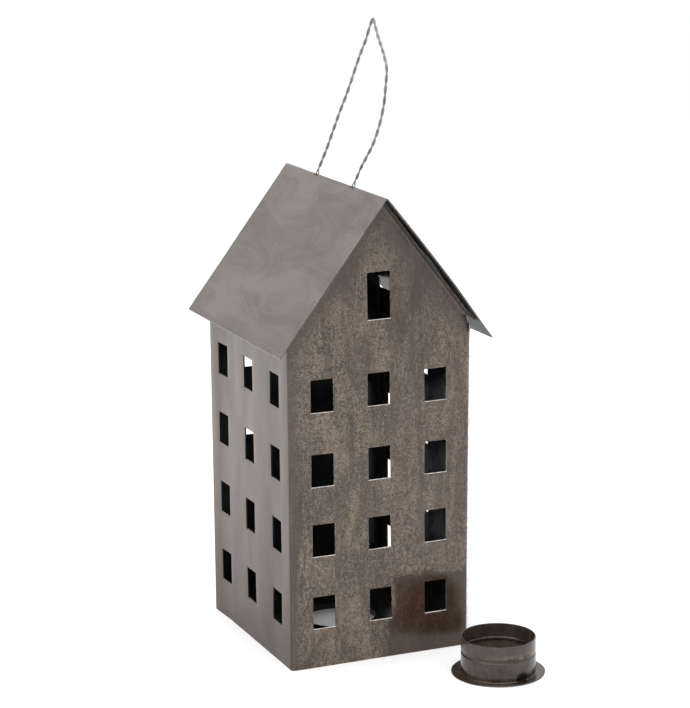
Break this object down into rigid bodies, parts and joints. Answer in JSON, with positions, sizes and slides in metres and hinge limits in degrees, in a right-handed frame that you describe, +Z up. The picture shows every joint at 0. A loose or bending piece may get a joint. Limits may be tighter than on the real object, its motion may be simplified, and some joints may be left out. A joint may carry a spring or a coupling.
{
  "type": "hanging lantern",
  "caption": "House-shaped sheet-metal tea light lantern with cut windows, a folded gable roof, a twisted wire handle and a loose grooved candle cup that fits a collar in the base.",
  "frame": {"origin": "middle of the house's base, on the plane of the walls' lower edges, which is the table's surface", "axes": "+Z up, -Y out of the front gable, the ridge along Y, +X to the right seen from the front gable"},
  "size_m": [0.1355, 0.199, 0.3437],
  "materials": {
    "wall_patina": "semi-gloss, mottled brown-grey patina",
    "roof_patina": "satin, pinkish grey patina",
    "base_steel": "satin, dark patina",
    "cup_steel": "semi-gloss, brown-grey patina",
    "handle_wire": "satin, darkened",
    "solder": "dull grey"
  },
  "bodies": {
    "house": {"front_left_wall": "wall_patina", "back_right_wall": "wall_patina", "roof_sheet": "roof_patina", "base_plate": "base_steel", "seam_solder_front": "solder", "seam_solder_back": "solder", "roof_solder_front": "solder", "roof_solder_back": "solder", "base_solder": "solder"},
    "handle": {"handle_wire": "handle_wire"},
    "cup": {"cup_sleeve": "cup_steel", "cup_floor": "cup_steel", "cup_flange": "cup_steel", "cup_seam_solder": "solder", "cup_floor_solder": "solder", "cup_foot_solder": "solder"}
  },
  "joints": [
    {"name": "handle_swing", "type": "hinge", "parent": "house", "child": "handle", "pos_m": [0, 0, 0.25432], "axis": [0, 1, 0], "range_deg": [-52, 28]},
    {"name": "cup_lift", "type": "slide", "parent": "house", "child": "cup", "axis": [0, 0, 1], "range_m": [0, 0.12]}
  ]
}
